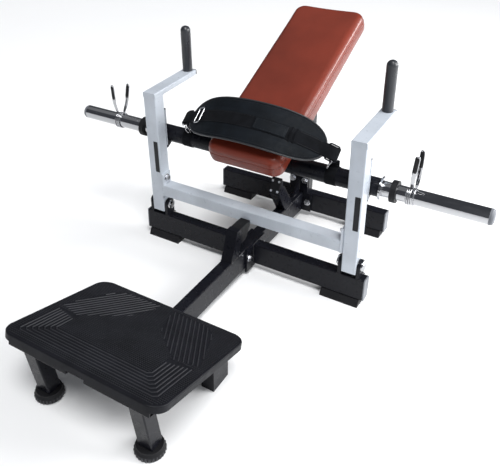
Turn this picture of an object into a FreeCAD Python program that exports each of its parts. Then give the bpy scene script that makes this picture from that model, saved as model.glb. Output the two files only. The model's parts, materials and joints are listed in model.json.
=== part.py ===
import FreeCAD
import Part
import Sketcher
import math
import os
import re

# Hip thrust machine.  Frame: X to the user's right-hand side of the front view, Y from the foot
# platform towards the head end of the pad, Z up, millimetres.  Every piece is laid out about the
# lever's pivot line (Y = 0) and then moved by "frameshift", which puts the origin on the floor
# under the middle of the whole machine.

App = FreeCAD
V = App.Vector
X_AXIS = V(1, 0, 0)
Y_AXIS = V(0, 1, 0)

os.makedirs("parts", exist_ok=True)
doc = App.newDocument("hip_thrust_machine")

# ---------------------------------------------------------------- driving dimensions
SIZES = {
    "frameshift": 128.08,      # from the pivot line to the middle of the machine, along Y
    # black frame stock
    "tubewall": 3,
    "tubecorner": 4,
    "beamwide": 40,
    "beamtall": 80,
    "floorgap": 24,
    "frontbeam": 872,
    "rearbeam": 718,
    "rearplace": 428,
    "spinefront": 600,
    "spinerear": 400,
    "flangethick": 8,
    "flangedeep": 130,
    "capthick": 4,
    "capplug": 14,
    # fasteners
    "boltradius": 6,
    "boltplay": 0.5,
    "headradius": 10,
    "headthick": 8,
    "washerradius": 13,
    "washerthick": 2,
    # feet of the cross beams
    "footlong": 133,
    "foottopwide": 44,
    "footbasewide": 66,
    "footinset": 13,
    # pivots
    "pivotheight": 145,
    "pinradius": 10,
    "pinplay": 0.05,
    "bushradius": 14,
    "earradius": 22,
    "earthick": 11,
    "eargap": 1.5,
    "domeradius": 19,
    "domethick": 9,
    # lever frame
    "leverstock": 50,
    "leverouter": 403,
    "leverlean": 2.5,
    "levertop": 433,
    "leverfoot": 25,
    "armtall": 20,
    "armlong": 260,
    "postplace": 214,
    "postradius": 8,
    "postlong": 150,
    "griplong": 168,
    "gripradius": 18,
    "crossback": 5,
    "crosscentre": 70.5,
    "crossstock": 46,
    "crossflange": 90,
    # hip bar and sleeves
    "barplace": 60,
    "barheight": 268,
    "barradius": 30,
    "barend": 431,
    "barwall": 5,
    "bracketthick": 5,
    "discradius": 38,
    "discthick": 6,
    "sleeveradius": 25,
    "sleeveend": 748,
    "sleevewall": 4,
    "stopringradius": 35,
    "stopringplace": 464,
    "stopringthick": 18,
    "endcapthick": 15,
    # spring collars
    "coilplay": 0.35,
    "coilthick": 4.5,
    "coilwide": 20,
    "clampwide": 6,
    "collarright": 510,
    "collarleft": 574,
    "wireradius": 2.5,
    "wirereach": 140,
    "wirespread": 10,
    "clipgripwide": 16,
    "clipgripthick": 8,
    "clipgriplong": 60,
    # pad
    "padwide": 274,
    "padlong": 760,
    "paddeep": 70,
    "padtilt": 26,
    "padfront": -50.5,
    "padheight": 406.5,
    "padcorner": 34,
    "padround": 16,
    "boardthick": 12,
    "boardinset": 10,
    "railwide": 50,
    "railtall": 30,
    "railstart": 165,
    "railend": 710,
    "strapthick": 6,
    # belt
    "beltthick": 8,
    "beltwide": 156,
    "beltspan": 500,
    "beltdrop": 74,
    "belttilt": 38.5,
    "beltfront": -82,
    "beltheight": 519,
    # foot platform
    "platewide": 520,
    "platelong": 420,
    "platethick": 20,
    "platetilt": 14.6,
    "platecorner": 44,
    "platerear": -472,
    "plateheight": 137,
    "legplace": 175,
    "legstock": 45,
    "leglean": 8.5,
    "legfoot": -820,
    "legset": 5,
    "shoeradius": 40,
    "shoetall": 28,
    "railplace": 148,
    "channelouter": 212,
}

sheet = doc.addObject("Spreadsheet::Sheet", "Sizes")
for row, (alias, number) in enumerate(SIZES.items(), start=1):
    sheet.set(f"A{row}", alias)
    sheet.set(f"B{row}", str(number))
    sheet.setAlias(f"B{row}", alias)
doc.recompute()


def size(alias):
    """One driving dimension, read back from the sheet."""
    return float(getattr(sheet, alias))


def linked(text):
    """An expression in aliases, written as FreeCAD wants it."""
    def full_name(hit):
        word = hit.group()
        return "Sizes." + word if word in SIZES else word

    return re.sub(r"[a-z]+", full_name, text)


def bind(thing, **expressions):
    for name, text in expressions.items():
        thing.setExpression(name, linked(text))


# ---------------------------------------------------------------- frames
MACHINE = App.Placement(V(0, size("frameshift"), 0), App.Rotation())
LEVER = MACHINE.multiply(
    App.Placement(V(0, 0, size("pivotheight")), App.Rotation(X_AXIS, size("leverlean"))))
PAD = MACHINE.multiply(
    App.Placement(V(0, size("padfront"), size("padheight")), App.Rotation(X_AXIS, size("padtilt"))))
PLATE = MACHINE.multiply(
    App.Placement(V(0, size("platerear"), size("plateheight")), App.Rotation(X_AXIS, -size("platetilt"))))

ALONG_X = App.Rotation(Y_AXIS, 90)
ALONG_Y = App.Rotation(X_AXIS, -90)
UPRIGHT = App.Rotation()

beam_top = size("floorgap") + size("beamtall")
beam_middle = size("floorgap") + size("beamtall") / 2
half_beam = size("beamwide") / 2
upright_middle = size("leverouter") - size("leverstock") / 2
half_lever = size("leverstock") / 2

pieces = []
counter = [0]


def fresh(word):
    counter[0] += 1
    return f"{word}{counter[0]}"


def at(x, y, z, rotation=UPRIGHT):
    return App.Placement(V(x, y, z), rotation)


def piece(thing, label, frame=MACHINE):
    """Name a finished sub-part and move it into the part's own frame."""
    thing.Label = label
    thing.Placement = frame.multiply(thing.Placement)
    pieces.append(thing)
    return thing


# ---------------------------------------------------------------- shape makers
def box(x, y, z, corner):
    made = doc.addObject("Part::Box", fresh("Block"))
    bind(made, Length=x, Width=y, Height=z)
    made.Placement = corner if isinstance(corner, App.Placement) else at(*corner)
    return made


def rod(radius, length, place):
    made = doc.addObject("Part::Cylinder", fresh("Rod"))
    bind(made, Radius=radius, Height=length)
    made.Placement = place
    return made


def fuse(*members):
    made = doc.addObject("Part::MultiFuse", fresh("Weld"))
    made.Shapes = list(members)
    return made


def cut(base, *tools):
    made = doc.addObject("Part::Cut", fresh("Trim"))
    made.Base = base
    made.Tool = tools[0] if len(tools) == 1 else fuse(*tools)
    return made


def group(*members):
    made = doc.addObject("Part::Compound", fresh("Set"))
    made.Links = list(members)
    return made


def turned(radii, place):
    """A solid of revolution about its own Z, from (radius, height) pairs."""
    body = doc.addObject("PartDesign::Body", fresh("Turned"))
    sketch = body.newObject("Sketcher::SketchObject", fresh("Section"))
    attach(body, sketch, "XZ_Plane")
    outline(sketch, radii)
    spin = body.newObject("PartDesign::Revolution", fresh("Revolution"))
    spin.Profile = sketch
    spin.ReferenceAxis = (sketch, ["V_Axis"])
    spin.Angle = 360
    body.Placement = place
    return body


def attach(body, sketch, role):
    plane = next(feature for feature in body.Origin.OriginFeatures if feature.Role == role)
    sketch.AttachmentSupport = [(plane, "")]
    sketch.MapMode = "FlatFace"


def outline(sketch, corners):
    """A closed polygon, its corners joined by coincident constraints."""
    points = [V(a, b, 0) for a, b in corners]
    first = None
    for start, end in zip(points, points[1:] + points[:1]):
        index = sketch.addGeometry(Part.LineSegment(start, end), False)
        first = index if first is None else first
    count = len(points)
    for step in range(count):
        following = first + (step + 1) % count
        sketch.addConstraint(Sketcher.Constraint("Coincident", first + step, 2, following, 1))


def rectangle(sketch, across, tall, tag):
    """A rectangle about the sketch's origin, its sides held by two named distances."""
    a, b = 10, 5
    corners = [V(-a, -b, 0), V(a, -b, 0), V(a, b, 0), V(-a, b, 0)]
    first = None
    for start, end in zip(corners, corners[1:] + corners[:1]):
        index = sketch.addGeometry(Part.LineSegment(start, end), False)
        first = index if first is None else first
    for step in range(4):
        following = first + (step + 1) % 4
        sketch.addConstraint(Sketcher.Constraint("Coincident", first + step, 2, following, 1))
    for step, word in enumerate(("Horizontal", "Vertical", "Horizontal", "Vertical")):
        sketch.addConstraint(Sketcher.Constraint(word, first + step))
    sketch.addConstraint(Sketcher.Constraint("Symmetric", first, 1, first + 1, 2, -1, 1))
    wide = sketch.addConstraint(Sketcher.Constraint("DistanceX", first, 1, first, 2, 2 * a))
    high = sketch.addConstraint(Sketcher.Constraint("DistanceY", first + 1, 1, first + 1, 2, 2 * b))
    sketch.renameConstraint(wide, tag + "across")
    sketch.renameConstraint(high, tag + "tall")
    sketch.setExpression(f"Constraints.{tag}across", linked(across))
    sketch.setExpression(f"Constraints.{tag}tall", linked(tall))


def corner_edges(shape, half_across, half_tall):
    """Names of the long edges that stand at the outer corners of a section about Z."""
    names = []
    for number, edge in enumerate(shape.Edges, start=1):
        ends = [vertex.Point for vertex in edge.Vertexes]
        if len(ends) != 2 or abs(ends[0].z - ends[1].z) < 1:
            continue
        if all(abs(abs(p.x) - half_across) < 0.01 and abs(abs(p.y) - half_tall) < 0.01 for p in ends):
            names.append(f"Edge{number}")
    return names


def bar_stock(across, tall, length, place, wall="tubewall", corner="tubecorner"):
    """Rectangular stock along its own Z, hollow if it has a wall, with rounded outer corners."""
    body = doc.addObject("PartDesign::Body", fresh("Stock"))
    sketch = body.newObject("Sketcher::SketchObject", fresh("Section"))
    attach(body, sketch, "XY_Plane")
    rectangle(sketch, across, tall, "outer")
    if wall:
        rectangle(sketch, f"{across} - 2 * {wall}", f"{tall} - 2 * {wall}", "inner")
    pad = body.newObject("PartDesign::Pad", fresh("Pad"))
    pad.Profile = sketch
    bind(pad, Length=length)
    doc.recompute()
    box_of = pad.Shape.BoundBox
    fillet = body.newObject("PartDesign::Fillet", fresh("Corner"))
    fillet.Base = (pad, corner_edges(pad.Shape, box_of.XMax, box_of.YMax))
    bind(fillet, Radius=corner)
    body.Placement = place
    return body


def slab(corners, thick, place, role="YZ_Plane"):
    """A flat plate: a polygon in one of the origin planes, padded both ways about it."""
    body = doc.addObject("PartDesign::Body", fresh("Plate"))
    sketch = body.newObject("Sketcher::SketchObject", fresh("Outline"))
    attach(body, sketch, role)
    outline(sketch, corners)
    pad = body.newObject("PartDesign::Pad", fresh("Pad"))
    pad.Profile = sketch
    bind(pad, Length=thick)
    pad.SideType = "Symmetric"
    body.Placement = place
    return body


def inset(corners, distance):
    """The same polygon with every side moved inwards (corners run clockwise)."""
    moved = []
    count = len(corners)
    for index in range(count):
        (ax, ay), (bx, by) = corners[index], corners[(index + 1) % count]
        length = math.hypot(bx - ax, by - ay)
        nx, ny = (by - ay) / length, -(bx - ax) / length
        moved.append((ax + nx * distance, ay + ny * distance, bx - ax, by - ay))
    result = []
    for index in range(count):
        px, py, dx, dy = moved[index - 1]
        qx, qy, ex, ey = moved[index]
        along = ((qx - px) * ey - (qy - py) * ex) / (dx * ey - dy * ex)
        result.append((px + dx * along, py + dy * along))
    return result


def bolt(length, place, nut=True):
    """Hexagon bolt along its own Z with a washer under the head, and a nut and washer at the far end."""
    parts = [
        hexagon(place.multiply(at(0, 0, -size("headthick")))),
        rod("washerradius", "washerthick", place),
        rod("boltradius", length, place),
    ]
    if nut:
        end = size_of(length)
        parts.append(rod("washerradius", "washerthick", place.multiply(at(0, 0, end - size("washerthick")))))
        parts.append(hexagon(place.multiply(at(0, 0, end))))
    return fuse(*parts)


def size_of(text):
    """Length of a sum of aliases and numbers, such as 'a + 2 * b'."""
    total = 0.0
    for term in text.split("+"):
        product = 1.0
        for factor in term.split("*"):
            word = factor.strip()
            product *= size(word) if word in SIZES else float(word)
        total += product
    return total


def hexagon(place):
    prism = doc.addObject("Part::Prism", fresh("Hexagon"))
    prism.Polygon = 6
    bind(prism, Circumradius="headradius", Height="headthick")
    prism.Placement = place
    return prism


SIDES = (("left", -1), ("right", 1))


# ---------------------------------------------------------------- static frame
REAR_BOLT = 42            # half the spacing of the bolts through the rear beam
POST_BOLT = 26            # half the spacing of the bolts through the pad post
POST_BOLT_HEIGHT = 160
SADDLE_BOLTS = (-570, -510)
joint_reach = size("flangedeep") / 2 - 15
JOINT_BOLTS = (-joint_reach, joint_reach)


def spine():
    tube = bar_stock("beamwide", "beamtall", "spinefront + spinerear",
                     at(0, -size("spinefront"), beam_middle, ALONG_Y))
    holes = [rod("boltradius + boltplay", "2 * beamwide", at(-size("beamwide"), y, beam_middle, ALONG_X))
             for y in JOINT_BOLTS]
    holes += [rod("boltradius + boltplay", "80", at(-40, y, 76, ALONG_X)) for y in SADDLE_BOLTS]
    piece(cut(tube, *holes), "spine_beam")


def end_cap(place, across, tall):
    """Moulded plug: a thin face plate outside the tube and a shank inside; its own Z points out."""
    face = bar_stock(across, tall, "capthick", place, wall=None)
    shank = bar_stock(f"{across} - 2 * tubewall", f"{tall} - 2 * tubewall", "capplug",
                      place.multiply(at(0, 0, -size("capplug"))), wall=None, corner="1")
    return fuse(face, shank)


def front_beam(name, sign):
    """Half of the front cross beam with the flange plate that bolts it to the spine's side."""
    inner = half_beam + size("flangethick")
    start = inner if sign > 0 else size("capthick") - size("frontbeam") / 2
    tube = bar_stock("beamtall", "beamwide", "frontbeam / 2 - beamwide / 2 - flangethick - capthick",
                     at(start, 0, beam_middle, ALONG_X))
    flange_start = half_beam if sign > 0 else -inner
    flange = box("flangethick", "flangedeep", "beamtall + 12",
                 (flange_start, -size("flangedeep") / 2, size("floorgap") - 12))
    holes = [rod("boltradius + boltplay", "3 * flangethick", at(flange_start - 8, y, beam_middle, ALONG_X))
             for y in JOINT_BOLTS]
    piece(cut(fuse(tube, flange), *holes), f"front_beam_{name}")


def rear_beam():
    start = size("capthick") - size("rearbeam") / 2
    tube = bar_stock("beamtall", "beamwide", "rearbeam - 2 * capthick",
                     at(start, size("rearplace"), beam_middle, ALONG_X))
    holes = [rod("boltradius + boltplay", "2 * beamwide", at(x, size("spinerear"), beam_middle, ALONG_Y))
             for x in (-REAR_BOLT, REAR_BOLT)]
    piece(cut(tube, *holes), "rear_beam")


def beam_caps():
    front = at(0, -size("spinefront"), beam_middle, App.Rotation(X_AXIS, 90))
    caps = [end_cap(front, "beamwide", "beamtall")]
    for sign in (-1, 1):
        outward = ALONG_X if sign > 0 else App.Rotation(Y_AXIS, -90)
        for half_length, y in ((size("frontbeam") / 2, 0), (size("rearbeam") / 2, size("rearplace"))):
            x = sign * (half_length - size("capthick"))
            caps.append(end_cap(at(x, y, beam_middle, outward), "beamtall", "beamwide"))
    piece(group(*caps), "beam_end_caps")


def joint_bolts():
    start = -half_beam - size("flangethick") - size("washerthick")
    side_bolts = [bolt("beamwide + 2 * flangethick + 2 * washerthick", at(start, y, beam_middle, ALONG_X))
                  for y in JOINT_BOLTS]
    places = [(x, beam_middle) for x in (-REAR_BOLT, REAR_BOLT)]
    places += [(x, POST_BOLT_HEIGHT) for x in (-POST_BOLT, POST_BOLT)]
    front = size("spinerear") - size("washerthick")
    rear_bolts = [bolt("beamwide + flangethick + 2 * washerthick", at(x, front, z, ALONG_Y))
                  for x, z in places]
    saddle_bolts = [bolt("beamwide + 12 + 2 * washerthick", at(-half_beam - 8, y, 76, ALONG_X))
                    for y in SADDLE_BOLTS]
    piece(group(*side_bolts, *rear_bolts, *saddle_bolts), "frame_bolts")


def rear_joint_plate():
    """Plate on the spine's rear end: wide where it meets the beam, narrow up the pad post."""
    low, wide, narrow, top = size("floorgap"), 56, 38, 184
    corners = [(-wide, low), (wide, low), (wide, beam_top), (narrow, beam_top), (narrow, top - 10),
               (narrow - 10, top), (10 - narrow, top), (-narrow, top - 10), (-narrow, beam_top),
               (-wide, beam_top)]
    middle = size("spinerear") + size("flangethick") / 2
    plate = slab(corners, "flangethick", at(0, middle, 0), "XZ_Plane")
    holes = [rod("boltradius + boltplay", "3 * flangethick", at(x, middle - 12, z, ALONG_Y))
             for x, z in ((-REAR_BOLT, beam_middle), (REAR_BOLT, beam_middle),
                          (-POST_BOLT, POST_BOLT_HEIGHT), (POST_BOLT, POST_BOLT_HEIGHT))]
    piece(cut(plate, *holes), "rear_joint_plate")


def boxed_post(corners):
    """A welded box section with the profile of a polygon, as wide as the spine."""
    outer = slab(corners, "beamwide", at(0, 0, 0))
    inner = slab(inset(corners, size("tubewall")), "beamwide - 2 * tubewall", at(0, 0, 0))
    return cut(outer, inner)


FRONT_POST = [(-160, 104), (-119, 207), (-97, 207), (-84, 172), (-111, 104)]
REAR_POST = [(244, 104), (184, 196), (207, 257), (214, 226), (304, 104)]


def front_stop():
    """Leaning post with a rubber nose that meets the lever's cross tube."""
    piece(boxed_post(FRONT_POST), "front_stop_post")
    lean = math.radians(size("leverlean"))
    front = -size("crossback") - size("crossstock") / 2
    contact = []
    tube_bottom = size("crosscentre") - size("crossstock") / 2
    for up in (tube_bottom - 4, tube_bottom + 14):
        contact.append((front * math.cos(lean) - up * math.sin(lean) - 0.3,
                        size("pivotheight") + front * math.sin(lean) + up * math.cos(lean)))
    nose = [(-96.7, 206), (-70, 206), contact[1], contact[0],
            (-54, 152), (-62, 146), (-94.3, 146), (-84, 172)]
    buffer = cut(slab(nose, "36", at(0, 0, 0)), slab(FRONT_POST, "beamwide", at(0, 0, 0)))
    piece(buffer, "front_stop_buffer")


def rear_stop():
    """Horn-shaped post that the hip bar comes down behind, with a rubber strip on its back."""
    piece(boxed_post(REAR_POST), "rear_stop_post")
    (cy, cz), (dy, dz) = REAR_POST[3], REAR_POST[4]
    slope = math.degrees(math.atan2(dz - cz, dy - cy))
    piece(box("36", "100", "6", at(-18, cy, cz, App.Rotation(X_AXIS, slope)).multiply(at(0, 14, 0))),
          "rear_stop_strip")
    (ey, ez), (fy, fz) = REAR_POST[1], REAR_POST[2]
    face = at(0, ey, ez, App.Rotation(X_AXIS, math.degrees(math.atan2(fz - ez, fy - ey))))
    piece(box("38", "56", "4", face.multiply(at(-19, 4, 0))), "rear_post_cover")
    screws = [rod("4.5", "3", face.multiply(at(x, y, 4))) for x in (-13, 13) for y in (13, 51)]
    piece(group(*screws), "rear_post_screws")


def beam_feet():
    """Flared moulded feet under the ends of both cross beams."""
    top, base = size("foottopwide") / 2, size("footbasewide") / 2
    gap = size("floorgap")
    corners = [(-base, 0), (-base, 5), (-top, gap), (top, gap), (base, 5), (base, 0)]
    feet = []
    for half_length, y in ((size("frontbeam") / 2, 0), (size("rearbeam") / 2, size("rearplace"))):
        middle = half_length - size("footinset") - size("footlong") / 2
        feet += [slab(corners, "footlong", at(sign * middle, y, 0)) for sign in (-1, 1)]
    piece(group(*feet), "beam_feet")


def pivot_ears():
    """Round-topped lugs that stand on the front beam in pairs, one pair astride each lever upright."""
    lugs = []
    near = size("leverouter") - size("leverstock") - size("eargap") - size("earthick")
    far = size("leverouter") + size("eargap")
    for start in (-far - size("earthick"), -near - size("earthick"), near, far):
        stem = box("earthick", "2 * earradius", "pivotheight - floorgap - beamtall",
                   (start, -size("earradius"), beam_top))
        head = rod("earradius", "earthick", at(start, 0, size("pivotheight"), ALONG_X))
        bore = rod("pinradius", "2 * earthick",
                   at(start - size("earthick") / 2, 0, size("pivotheight"), ALONG_X))
        lugs.append(cut(fuse(stem, head), bore))
    piece(group(*lugs), "pivot_ears")


def pivot_pins():
    radius, thick = size("domeradius"), size("domethick")
    dome = [(0, 0), (radius, 0), (radius, thick * 0.45), (radius * 0.84, thick * 0.8),
            (radius * 0.45, thick), (0, thick)]
    reach = size("leverstock") / 2 + size("eargap") + size("earthick")
    pins = []
    for sign in (-1, 1):
        centre = sign * upright_middle
        shaft = rod("pinradius", "leverstock + 2 * eargap + 2 * earthick",
                    at(centre - reach, 0, size("pivotheight"), ALONG_X))
        right_cap = turned(dome, at(centre + reach, 0, size("pivotheight"), ALONG_X))
        left_cap = turned(dome, at(centre - reach, 0, size("pivotheight"), App.Rotation(Y_AXIS, -90)))
        pins.append(fuse(shaft, right_cap, left_cap))
    piece(group(*pins), "pivot_pins")


# ---------------------------------------------------------------- pad and its post
PAD_STRAPS = (215, 625)
PAD_BOLTS = (-80, 80)


def pad_post():
    """Upright post of the frame's own tube behind the joint plate, its top cut to the pad's slope."""
    low_y = size("spinerear") + size("flangethick")
    tube = bar_stock("beamtall", "beamwide", "600", at(0, low_y + half_beam, beam_top))
    rail_bottom = at(0, size("padfront"), size("padheight"), App.Rotation(X_AXIS, size("padtilt"))).multiply(
        at(0, 0, -size("strapthick") - size("railtall")))
    waste = box("300", "900", "600", rail_bottom.multiply(at(-150, 0, 0)))
    holes = [rod("boltradius + boltplay", "2 * beamwide", at(x, low_y - 20, POST_BOLT_HEIGHT, ALONG_Y))
             for x in (-POST_BOLT, POST_BOLT)]
    piece(cut(tube, waste, *holes), "pad_post")
    front = size("spinerear")
    gusset = [(front, beam_top), (front - 54, beam_top), (front, beam_top + 59)]
    piece(slab(gusset, "8", at(0, 0, 0)), "post_gusset")


def pad_support():
    low = -size("strapthick") - size("railtall")
    rail = bar_stock("railwide", "railtall", "railend - railstart",
                     at(0, size("railstart"), low + size("railtall") / 2, ALONG_Y))
    piece(rail, "pad_rail", PAD)
    straps = []
    bolts = []
    for along in PAD_STRAPS:
        strap = box("200", "44", "strapthick", (-100, along - 22, -size("strapthick")))
        straps.append(cut(strap, *[rod("4.3", "20", at(x, along, -15)) for x in PAD_BOLTS]))
        for x in PAD_BOLTS:
            shank = rod("4", "strapthick + 8", at(x, along, -size("strapthick")))
            bolts.append(fuse(shank, rod("8", "5", at(x, along, -size("strapthick") - 5))))
    piece(group(*straps), "pad_straps", PAD)
    piece(group(*bolts), "pad_bolts", PAD)


def rounded_block(across, along, thick, corner, place, rounding=None):
    """A plate about its own Z with rounded corners, and a rounded upper rim if asked."""
    body = doc.addObject("PartDesign::Body", fresh("Slab"))
    sketch = body.newObject("Sketcher::SketchObject", fresh("Outline"))
    attach(body, sketch, "XY_Plane")
    rectangle(sketch, across, along, "outer")
    pad = body.newObject("PartDesign::Pad", fresh("Pad"))
    pad.Profile = sketch
    bind(pad, Length=thick)
    doc.recompute()
    extent = pad.Shape.BoundBox
    upright = body.newObject("PartDesign::Fillet", fresh("Corner"))
    upright.Base = (pad, corner_edges(pad.Shape, extent.XMax, extent.YMax))
    bind(upright, Radius=corner)
    if rounding:
        doc.recompute()
        rims = [f"Edge{number}" for number, edge in enumerate(upright.Shape.Edges, start=1)
                if all(abs(vertex.Point.z - extent.ZMax) < 0.01 for vertex in edge.Vertexes)]
        rim = body.newObject("PartDesign::Fillet", fresh("Rim"))
        rim.Base = (upright, rims)
        bind(rim, Radius=rounding)
    body.Placement = place
    return body


def pad():
    middle = size("padlong") / 2
    board = rounded_block("padwide - 2 * boardinset", "padlong - 2 * boardinset", "boardthick",
                          "padcorner / 2", at(0, middle, 0))
    holes = [rod("4", "8", at(x, along, 0)) for along in PAD_STRAPS for x in PAD_BOLTS]
    piece(cut(board, *holes), "pad_board", PAD)
    cushion = rounded_block("padwide", "padlong", "paddeep - boardthick", "padcorner",
                            at(0, middle, size("boardthick")), rounding="padround")
    piece(cushion, "pad_cushion", PAD)


# ---------------------------------------------------------------- belt
BELT = MACHINE.multiply(
    App.Placement(V(0, size("beltfront"), size("beltheight")), App.Rotation(X_AXIS, size("belttilt"))))


def belt():
    """Stiff padded hip belt that lies over the pad's low end and droops beyond the pad's sides."""
    half_span = size("beltspan") / 2
    stations = [half_span * step / 12 for step in range(-12, 13)]
    top = [(x, -size("beltdrop") * abs(x / half_span) ** 2.2) for x in stations]
    under = [(x, z - size("beltthick")) for x, z in top]
    middle = size("beltwide") / 2
    piece(slab(top + under[::-1], "beltwide", at(0, middle, 0), "XZ_Plane"), "hip_belt", BELT)


def belt_links():
    """Rectangular steel loop that carries on the slope of each end of the belt."""
    links = []
    for sign in (-1, 1):
        place = at(sign * 270, size("beltwide") / 2, -85, App.Rotation(Y_AXIS, sign * 32))
        plate = box("40", "64", "5", place.multiply(at(-20, -32, -2.5)))
        window = box("30", "54", "9", place.multiply(at(-15, -27, -4.5)))
        links.append(cut(plate, window))
    piece(group(*links), "belt_links", BELT)


LINK_PLACE = 272              # from the middle of the machine to each strap that the belt hooks to


# ---------------------------------------------------------------- foot platform
def under_plate(y, depth):
    """Height, at some Y, of the plane that lies this deep under the foot plate's top."""
    tilt = math.radians(size("platetilt"))
    return size("plateheight") + (size("platerear") - y) * math.tan(tilt) - depth / math.cos(tilt)


def above_plane(depth):
    """A big block whose underside is the plane this deep under the foot plate's top."""
    place = at(0, size("platerear"), size("plateheight"), App.Rotation(X_AXIS, -size("platetilt")))
    return box("800", "900", "400", place.multiply(at(-400, -700, -depth)))


RAIL_SCREWS = (110, 330)      # from the plate's rear edge, down the plate


def platform():
    thick = size("platethick")
    plate = rounded_block("platewide", "platelong", "platethick", "platecorner",
                          at(0, -size("platelong") / 2, -thick), rounding="4")
    piece(plate, "platform_plate", PLATE)
    crossbar = bar_stock("20", "40", "412", at(-206, -60, -thick - 10, ALONG_X), corner="3")
    piece(crossbar, "platform_crossbar", PLATE)
    rails = []
    for sign in (-1, 1):
        x = sign * size("railplace")
        rail = bar_stock("40", "20", "285", at(x, -365, -thick - 10, ALONG_Y), corner="3")
        rails.append(cut(rail, *[rod("4.3", "40", at(x, -along, -thick - 30)) for along in RAIL_SCREWS]))
    piece(group(*rails), "platform_rails", PLATE)
    front_bars = [bar_stock("20", "40", "200", at(start, -390, -thick - 10, ALONG_X), corner="3")
                  for start in (-230, 30)]
    piece(group(*front_bars), "platform_front_bars", PLATE)
    screws = [fuse(rod("4", "16", at(x, -along, -thick - 22)), rod("8", "4", at(x, -along, -thick - 24)))
              for x in (-size("railplace"), size("railplace")) for along in RAIL_SCREWS]
    piece(group(*screws), "platform_screws", PLATE)


def platform_legs():
    """Front legs: square tubes under the front bars that lean back towards round moulded shoes."""
    radius, tall = size("shoeradius"), size("shoetall")
    profile = [(0, 0), (radius - 3, 0), (radius, 3), (radius, tall - 12), (radius - 4, tall - 5),
               (radius - 4, tall), (0, tall)]
    half = size("legstock") / 2
    shoes = []
    for name, sign in SIDES:
        foot = size("legfoot") + size("legset")
        place = at(sign * size("legplace"), foot, 12, App.Rotation(X_AXIS, size("leglean")))
        tube = bar_stock("legstock", "legstock", "280", place)
        piece(cut(tube, above_plane(size("platethick") + 20)), f"platform_leg_{name}")
        disc = turned(profile, at(sign * size("legplace"), size("legfoot"), 0))
        pocket = box("legstock", "legstock", "60", place.multiply(at(-half, -half, 0)))
        shoes.append(cut(disc, pocket))
    piece(group(*shoes), "leg_shoes")


def platform_channels():
    """Rear feet of the platform: upright channels with their open sides towards the spine."""
    outer, deep = size("channelouter"), 41
    channels = []
    for sign in (-1, 1):
        start = outer - deep if sign > 0 else -outer
        solid = box(f"{deep}", "76", "200", (start, -576, 0))
        hollow = box(f"{deep}", "66", "220", (start - sign * 5, -571, -10))
        channels.append(cut(solid, hollow, above_plane(size("platethick"))))
    piece(group(*channels), "platform_channels")


def platform_saddle():
    """Two cheek plates that carry the platform's crossbar on the spine's front end."""
    front, rear = -588, -492
    depth = size("platethick") + 20
    shape = [(front, 52), (front, under_plate(front, depth)), (rear, under_plate(rear, depth)), (rear, 52)]
    cheeks = [slab(shape, "6", at(sign * (half_beam + 3), 0, 0)) for sign in (-1, 1)]
    holes = [rod("boltradius + boltplay", "80", at(-40, y, 76, ALONG_X)) for y in SADDLE_BOLTS]
    piece(cut(group(*cheeks), *holes), "platform_saddle")


# ---------------------------------------------------------------- lever frame
CROSS_BOLTS = (60, 118)       # heights of the cross tube's bolts above the pivot


def lever_upright(name, sign):
    """Lever upright with the bore of its pivot bush near the foot."""
    x = sign * upright_middle
    tube = bar_stock("leverstock", "leverstock", "levertop + leverfoot", at(x, 0, -size("leverfoot")))
    holes = [rod("bushradius", "2 * leverstock", at(x - size("leverstock"), 0, 0, ALONG_X))]
    inner_face = x - sign * half_lever
    holes += [rod("boltradius + boltplay", "2 * flangethick",
                  at(inner_face - size("flangethick"), -size("crossback"), z, ALONG_X)) for z in CROSS_BOLTS]
    piece(cut(tube, *holes), f"lever_upright_{name}", LEVER)


def pivot_bushes():
    bushes = []
    for sign in (-1, 1):
        start = at(sign * upright_middle - half_lever, 0, 0, ALONG_X)
        bushes.append(cut(rod("bushradius", "leverstock", start),
                          rod("pinradius + pinplay", "leverstock", start)))
    piece(group(*bushes), "pivot_bushes", LEVER)


def lever_arms():
    """Flat top arms that run back from the uprights, with posts under the foam hand grips."""
    radius, top = size("gripradius"), size("griplong")
    shoulder = top - radius
    dome = [(radius * math.cos(turn), shoulder + radius * math.sin(turn))
            for turn in (math.radians(step * 15) for step in range(6))]
    grips = []
    for name, sign in SIDES:
        x, z = sign * upright_middle, size("levertop") + size("armtall") / 2
        tube = bar_stock("leverstock", "armtall", "armlong - capthick", at(x, -half_lever, z, ALONG_Y))
        closing = box("leverstock - tubewall", "3", "armtall - tubewall",
                      (x - half_lever + 1.5, -half_lever + 0.4, size("levertop") + 1.5))
        post_place = at(x, size("postplace"), size("levertop") + size("armtall"))
        post = rod("postradius", "postlong", post_place)
        piece(fuse(tube, closing, post), f"lever_arm_{name}", LEVER)
        foam = turned([(0, 0), (radius, 0)] + dome + [(0, top)], post_place)
        grips.append(cut(foam, rod("postradius", "postlong", post_place)))
    piece(group(*grips), "hand_grips", LEVER)


def arm_end_caps():
    caps = []
    for sign in (-1, 1):
        place = at(sign * upright_middle, size("armlong") - size("capthick") - half_lever,
                   size("levertop") + size("armtall") / 2, ALONG_Y)
        caps.append(end_cap(place, "leverstock", "armtall"))
    piece(group(*caps), "arm_end_caps", LEVER)


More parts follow.
